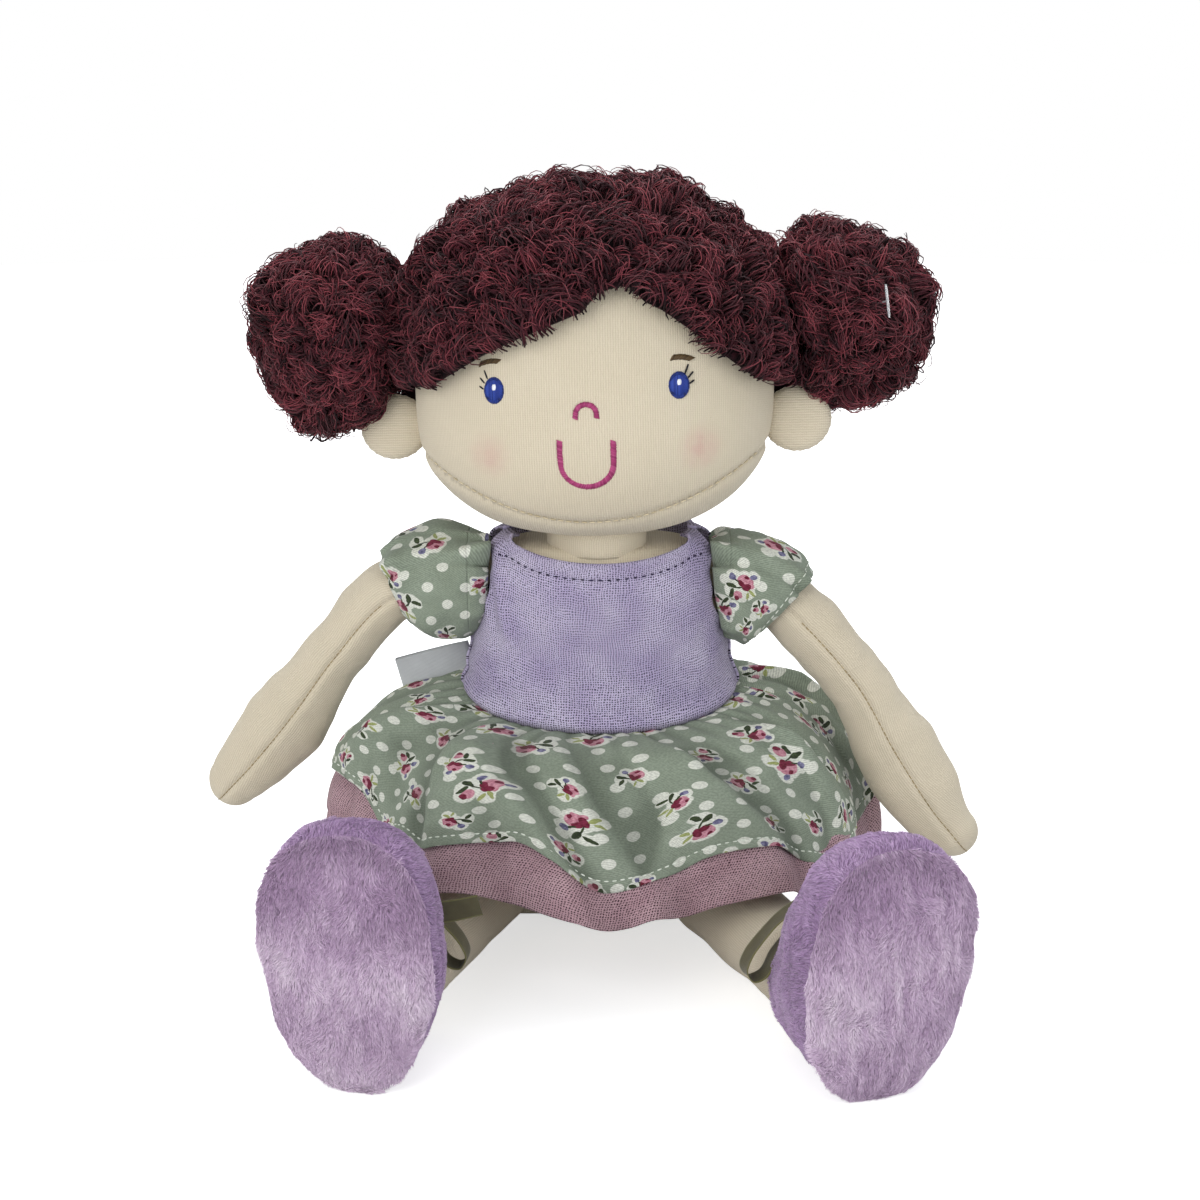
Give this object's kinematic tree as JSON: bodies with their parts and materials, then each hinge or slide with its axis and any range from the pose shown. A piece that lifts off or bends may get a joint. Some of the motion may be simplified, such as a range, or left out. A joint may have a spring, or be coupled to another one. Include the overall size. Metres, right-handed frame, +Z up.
{
  "type": "rag_doll",
  "caption": "Soft rag doll with bun hair, sitting with legs spread, in a puff-sleeved dress with petticoat and ribbon-tied plush slippers; head, arms, legs and feet move.",
  "frame": {"origin": "on the front edge of the flat seat of the torso, midway between the hips and level with the shoulders, on the surface that the doll sits on", "axes": "+Z up; the doll faces -Y; +X is the doll's own left side"},
  "size_m": [0.2767, 0.2038, 0.2726],
  "materials": {
    "cream_jersey": "brushed cotton jersey, matt",
    "polyester_filling": "loose polyester filling, hidden",
    "burgundy_curl": "curly looped pile",
    "lilac_plush": "short plush pile",
    "pale_lilac_plush": "short plush pile, lighter",
    "lavender_gauze": "crinkled double cotton gauze",
    "sage_print_cotton": "plain-woven cotton with a small floral print",
    "mauve_gauze": "crinkled double cotton gauze",
    "olive_ribbon": "satin ribbon",
    "blue_thread": "satin-stitched thread",
    "brown_thread": "satin-stitched thread",
    "plum_thread": "satin-stitched thread",
    "label_satin": "white satin tape",
    "clear_plastic": "clear moulded plastic"
  },
  "bodies": {
    "torso": {"torso_cover": "cream_jersey", "torso_stuffing": "polyester_filling", "bodice_front": "lavender_gauze", "bodice_back": "lavender_gauze", "skirt": "sage_print_cotton", "petticoat": "mauve_gauze", "care_label": "label_satin"},
    "neck": {"neck": "cream_jersey"},
    "head": {"head_cover": "cream_jersey", "head_stuffing": "polyester_filling", "hair_cap": "burgundy_curl", "nose": "plum_thread", "mouth": "plum_thread", "tag_barb": "clear_plastic", "ear_right": "cream_jersey", "bun_right": "burgundy_curl", "eye_right": "blue_thread", "brow_right": "brown_thread", "ear_left": "cream_jersey", "bun_left": "burgundy_curl", "eye_left": "blue_thread", "brow_left": "brown_thread"},
    "shoulder_right": {"shoulder_tab_right": "cream_jersey"},
    "arm_right": {"arm_cover_right": "cream_jersey", "arm_stuffing_right": "polyester_filling", "sleeve_right": "sage_print_cotton"},
    "leg_right": {"leg_cover_right": "cream_jersey", "leg_stuffing_right": "polyester_filling"},
    "foot_right": {"slipper_upper_right": "lilac_plush", "slipper_stuffing_right": "polyester_filling", "slipper_sole_right": "pale_lilac_plush", "bow_right": "olive_ribbon"},
    "shoulder_left": {"shoulder_tab_left": "cream_jersey"},
    "arm_left": {"arm_cover_left": "cream_jersey", "arm_stuffing_left": "polyester_filling", "sleeve_left": "sage_print_cotton"},
    "leg_left": {"leg_cover_left": "cream_jersey", "leg_stuffing_left": "polyester_filling"},
    "foot_left": {"slipper_upper_left": "lilac_plush", "slipper_stuffing_left": "polyester_filling", "slipper_sole_left": "pale_lilac_plush", "bow_left": "olive_ribbon"}
  },
  "joints": [
    {"name": "neck_turn", "type": "hinge", "parent": "torso", "child": "neck", "pos_m": [-0.001, -0.004, 0.15], "axis": [0, 0, 1], "range_deg": [-35, 35]},
    {"name": "head_nod", "type": "hinge", "parent": "neck", "child": "head", "pos_m": [-0.001, -0.004, 0.152], "axis": [1, 0, 0], "range_deg": [-12, 12]},
    {"name": "shoulder_swing_right", "type": "hinge", "parent": "torso", "child": "shoulder_right", "pos_m": [-0.043, 0, 0.137], "axis": [-1, 0, 0], "range_deg": [-30, 70]},
    {"name": "arm_raise_right", "type": "hinge", "parent": "shoulder_right", "child": "arm_right", "pos_m": [-0.043, 0, 0.137], "axis": [0, 1, 0], "range_deg": [-5, 55], "deforming": ["sleeve_right"]},
    {"name": "shoulder_swing_left", "type": "hinge", "parent": "torso", "child": "shoulder_left", "pos_m": [0.043, 0, 0.137], "axis": [-1, 0, 0], "range_deg": [-30, 70]},
    {"name": "arm_raise_left", "type": "hinge", "parent": "shoulder_left", "child": "arm_left", "pos_m": [0.043, 0, 0.137], "axis": [0, -1, 0], "range_deg": [0, 55], "deforming": ["sleeve_left"]},
    {"name": "hip_swing_right", "type": "hinge", "parent": "torso", "child": "leg_right", "pos_m": [-0.041, 0, 0.0175], "axis": [-0.9542, 0.299, 0], "range_deg": [-85, 4]},
    {"name": "foot_flex_right", "type": "hinge", "parent": "leg_right", "child": "foot_right", "pos_m": [-0.0727, -0.10115, 0.021], "axis": [-0.9542, 0.299, 0], "range_deg": [-12, 8]},
    {"name": "hip_swing_left", "type": "hinge", "parent": "torso", "child": "leg_left", "pos_m": [0.041, -0.008, 0.0175], "axis": [-0.9373, -0.3486, 0], "range_deg": [-85, 4]},
    {"name": "foot_flex_left", "type": "hinge", "parent": "leg_left", "child": "foot_left", "pos_m": [0.07795, -0.10735, 0.021], "axis": [-0.9373, -0.3486, 0], "range_deg": [-12, 8]}
  ]
}
